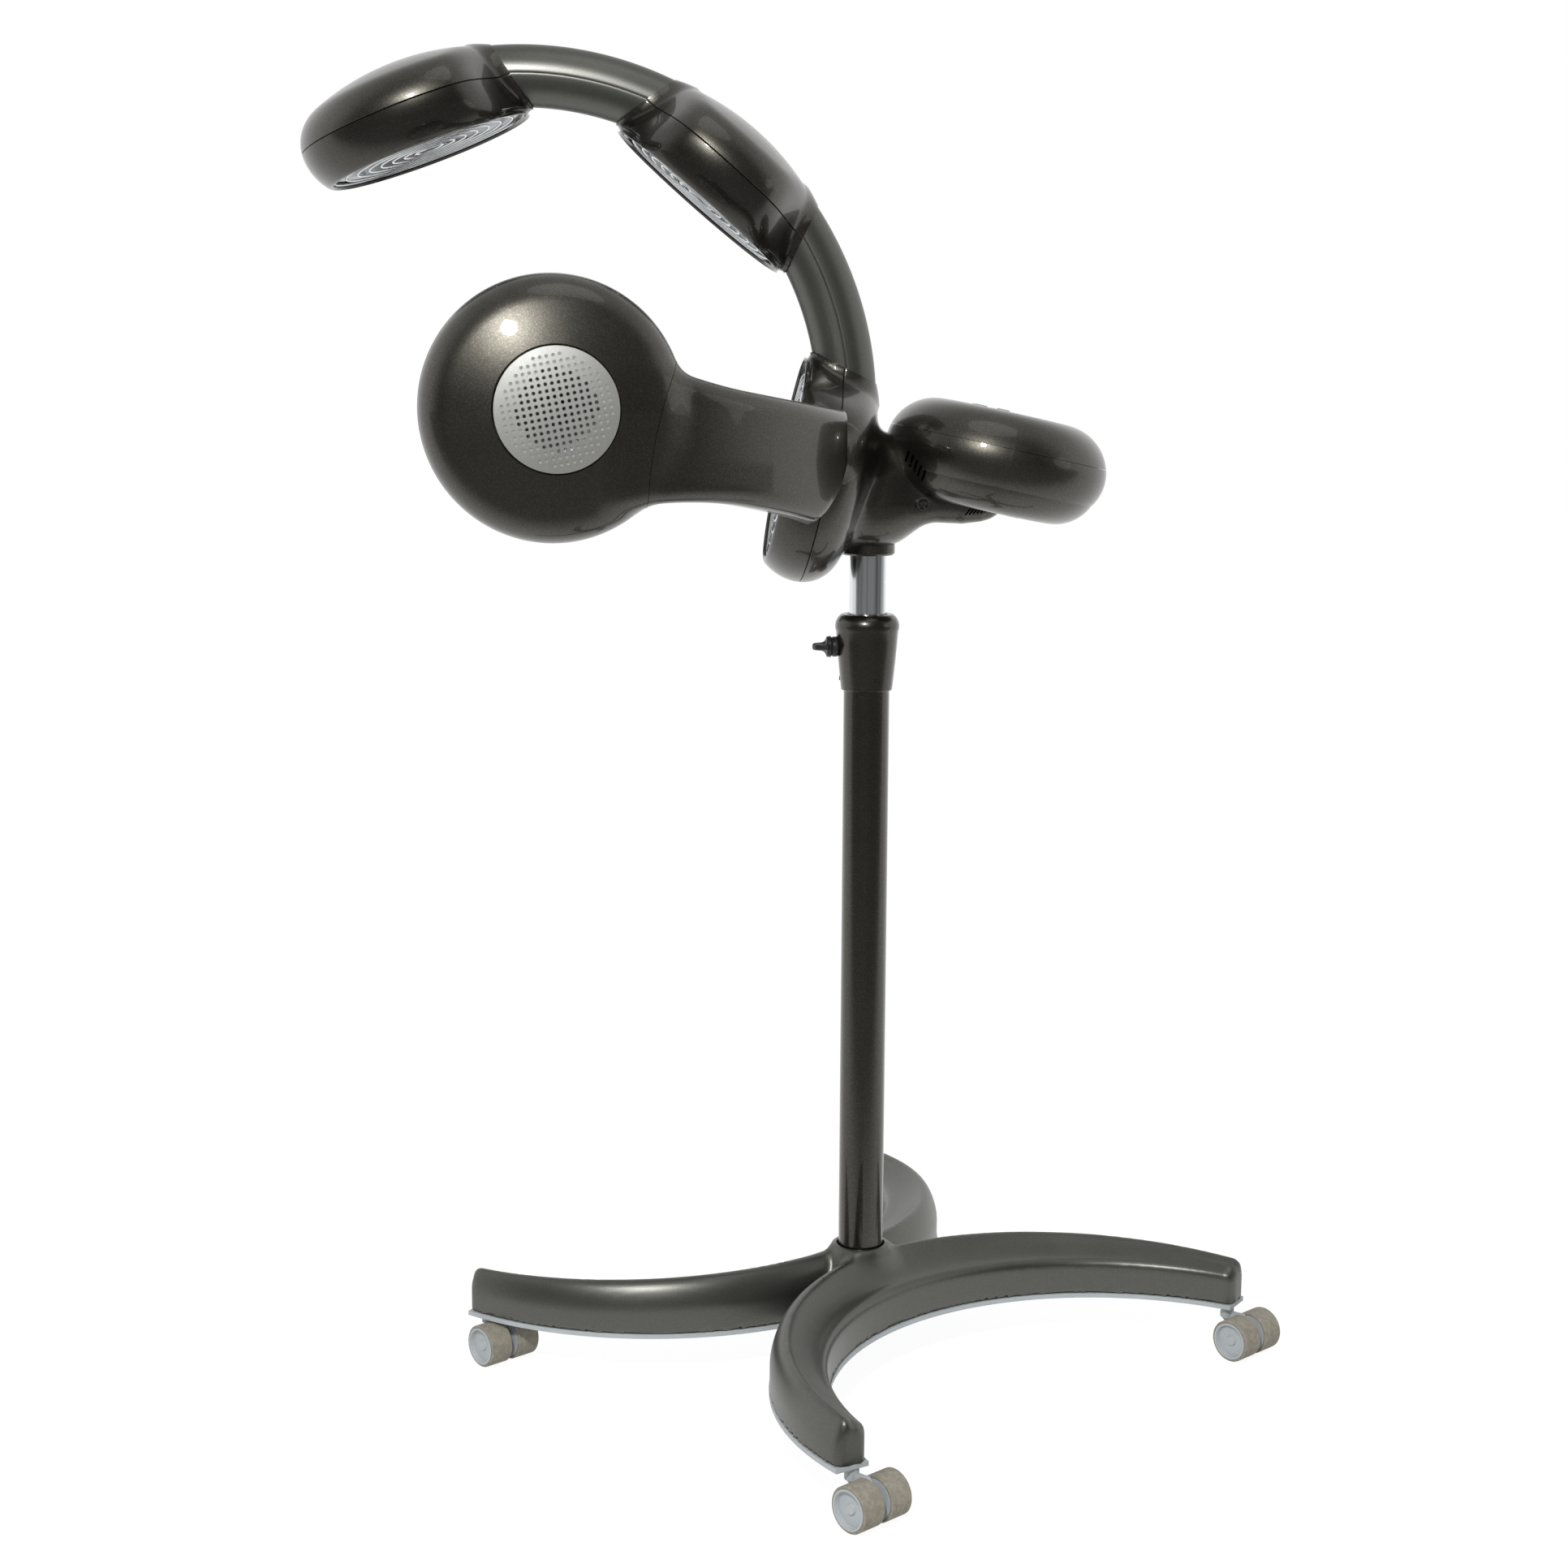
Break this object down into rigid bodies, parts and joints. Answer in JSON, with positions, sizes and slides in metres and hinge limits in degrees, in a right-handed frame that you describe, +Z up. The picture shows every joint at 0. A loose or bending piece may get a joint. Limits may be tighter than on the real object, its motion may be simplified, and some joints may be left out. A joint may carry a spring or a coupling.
{
  "type": "hair color processor",
  "caption": "Free-standing salon hair colour processor: round heater lamps on an arch and on hinged side arms, on a telescopic column over a curved four-footed base with twin-wheel casters.",
  "frame": {"origin": "on the floor, under the column's axis", "axes": "+Z up along the column, -Y towards the client's side with the lamps, +X towards the right-hand arm"},
  "size_m": [0.9166, 1.0757, 1.435],
  "materials": {
    "casting_paint": "satin graphite lacquer",
    "trim_plate": "pale blue-grey, lightly scuffed",
    "shell_lacquer": "glossy olive-bronze metallic lacquer",
    "tube_paint": "satin graphite metallic",
    "column_lacquer": "glossy olive-bronze metallic lacquer",
    "mast_chrome": "polished",
    "steel": "machined",
    "guide_plastic": "plain black",
    "knob_plastic": "fine-grained black",
    "caster_plastic": "blue-grey, dished",
    "tread": "taupe tread, dusty",
    "bezel_lacquer": "glossy olive-bronze metallic lacquer",
    "grille_wire": "bright wire",
    "reflector_metal": "bright satin",
    "heater": "pale ceramic",
    "vent_metal": "matt silver",
    "inner_frame": "black cast frame",
    "inlet_plastic": "plain black",
    "panel_face": "fine-grained dark grey",
    "window": "dark clear window",
    "button_face": "light grey",
    "board": "green laminate",
    "rocker": "plain black"
  },
  "bodies": {
    "base": {"base_casting": "casting_paint", "base_trim": "trim_plate", "column_tube": "column_lacquer", "column_collar": "column_lacquer", "collar_screws": "steel", "collar_bush": "guide_plastic"},
    "mast": {"mast_tube": "mast_chrome", "mast_guide": "guide_plastic"},
    "knob": {"clamp_knob": "knob_plastic"},
    "head": {"hub_core": "inner_frame", "swivel_ring": "shell_lacquer", "hub_shell": "shell_lacquer", "power_inlet": "inlet_plastic", "control_base": "shell_lacquer", "control_cover": "shell_lacquer", "control_panel": "panel_face", "display_window": "window", "control_board": "board", "rear_lamp_shell": "shell_lacquer", "rear_lamp_bezel": "bezel_lacquer", "mid_lamp_shell": "shell_lacquer", "mid_lamp_bezel": "bezel_lacquer", "front_lamp_shell": "shell_lacquer", "front_lamp_bezel": "bezel_lacquer", "arch_grilles": "grille_wire", "arch_reflectors": "reflector_metal", "arch_elements": "heater", "arch_lower_tube": "tube_paint", "arch_upper_tube": "tube_paint"},
    "right_arm": {"right_lamp_shell": "shell_lacquer", "right_lamp_bezel": "bezel_lacquer", "right_lamp_grille": "grille_wire", "right_lamp_reflector": "reflector_metal", "right_lamp_element": "heater", "right_vent_disc": "vent_metal", "right_arm_shell": "shell_lacquer"},
    "left_arm": {"left_lamp_shell": "shell_lacquer", "left_lamp_bezel": "bezel_lacquer", "left_lamp_grille": "grille_wire", "left_lamp_reflector": "reflector_metal", "left_lamp_element": "heater", "left_vent_disc": "vent_metal", "left_arm_shell": "shell_lacquer"},
    "start_button": {"start_button": "button_face"},
    "stop_button": {"stop_button": "button_face"},
    "plus_button": {"plus_button": "button_face"},
    "minus_button": {"minus_button": "button_face"},
    "power_switch": {"power_switch": "rocker"},
    "caster_1": {"caster_1_frame": "caster_plastic"},
    "wheels_1": {"caster_1_rims": "caster_plastic", "caster_1_tyres": "tread"},
    "caster_2": {"caster_2_frame": "caster_plastic"},
    "wheels_2": {"caster_2_rims": "caster_plastic", "caster_2_tyres": "tread"},
    "caster_3": {"caster_3_frame": "caster_plastic"},
    "wheels_3": {"caster_3_rims": "caster_plastic", "caster_3_tyres": "tread"},
    "caster_4": {"caster_4_frame": "caster_plastic"},
    "wheels_4": {"caster_4_rims": "caster_plastic", "caster_4_tyres": "tread"}
  },
  "joints": [
    {"name": "mast_slide", "type": "slide", "parent": "base", "child": "mast", "axis": [0, 0, 1], "range_m": [-0.05, 0.25]},
    {"name": "head_swivel", "type": "hinge", "parent": "mast", "child": "head", "pos_m": [0, 0, 0.911], "axis": [0, 0, 1], "range_deg": [-90, 90]},
    {"name": "right_arm_hinge", "type": "hinge", "parent": "head", "child": "right_arm", "pos_m": [0.138, -0.05426, 1.001], "axis": [0, 0, 1], "range_deg": [-5, 30]},
    {"name": "left_arm_hinge", "type": "hinge", "parent": "head", "child": "left_arm", "pos_m": [-0.138, -0.05426, 1.001], "axis": [0, 0, -1], "range_deg": [-5, 30]},
    {"name": "knob_turn", "type": "hinge", "parent": "base", "child": "knob", "pos_m": [0, -0.045, 0.805], "axis": [0, -1, 0], "range_deg": [0, 180]},
    {"name": "caster_1_swivel", "type": "hinge", "parent": "base", "child": "caster_1", "pos_m": [0.41877, -0.04328, 0.05], "axis": [0, 0, 1], "continuous": true},
    {"name": "caster_1_roll", "type": "hinge", "parent": "caster_1", "child": "wheels_1", "pos_m": [0.44022, -0.02528, 0.0235], "axis": [-0.6428, 0.766, 0], "continuous": true},
    {"name": "caster_2_swivel", "type": "hinge", "parent": "base", "child": "caster_2", "pos_m": [0.00955, 0.42089, 0.05], "axis": [0, 0, 1], "continuous": true},
    {"name": "caster_2_roll", "type": "hinge", "parent": "caster_2", "child": "wheels_2", "pos_m": [0.031, 0.43889, 0.0235], "axis": [-0.6428, 0.766, 0], "continuous": true},
    {"name": "caster_3_swivel", "type": "hinge", "parent": "base", "child": "caster_3", "pos_m": [-0.41877, 0.04328, 0.05], "axis": [0, 0, 1], "continuous": true},
    {"name": "caster_3_roll", "type": "hinge", "parent": "caster_3", "child": "wheels_3", "pos_m": [-0.39732, 0.06127, 0.0235], "axis": [-0.6428, 0.766, 0], "continuous": true},
    {"name": "caster_4_swivel", "type": "hinge", "parent": "base", "child": "caster_4", "pos_m": [-0.00955, -0.42089, 0.05], "axis": [0, 0, 1], "continuous": true},
    {"name": "caster_4_roll", "type": "hinge", "parent": "caster_4", "child": "wheels_4", "pos_m": [0.0119, -0.40289, 0.0235], "axis": [-0.6428, 0.766, 0], "continuous": true},
    {"name": "start_button_press", "type": "slide", "parent": "head", "child": "start_button", "axis": [0, -0.2079, -0.9781], "range_m": [0, 0.0008], "stiffness_N_per_m": 600, "springref_m": -0.0004},
    {"name": "stop_button_press", "type": "slide", "parent": "head", "child": "stop_button", "axis": [0, -0.2079, -0.9781], "range_m": [0, 0.0008], "stiffness_N_per_m": 600, "springref_m": -0.0004},
    {"name": "plus_button_press", "type": "slide", "parent": "head", "child": "plus_button", "axis": [0, -0.2079, -0.9781], "range_m": [0, 0.0008], "stiffness_N_per_m": 600, "springref_m": -0.0004},
    {"name": "minus_button_press", "type": "slide", "parent": "head", "child": "minus_button", "axis": [0, -0.2079, -0.9781], "range_m": [0, 0.0008], "stiffness_N_per_m": 600, "springref_m": -0.0004},
    {"name": "power_switch_rock", "type": "hinge", "parent": "head", "child": "power_switch", "pos_m": [-0.03, 0.16365, 0.95002], "axis": [0, 0.9781, -0.2079], "range_deg": [-6, 6]}
  ]
}
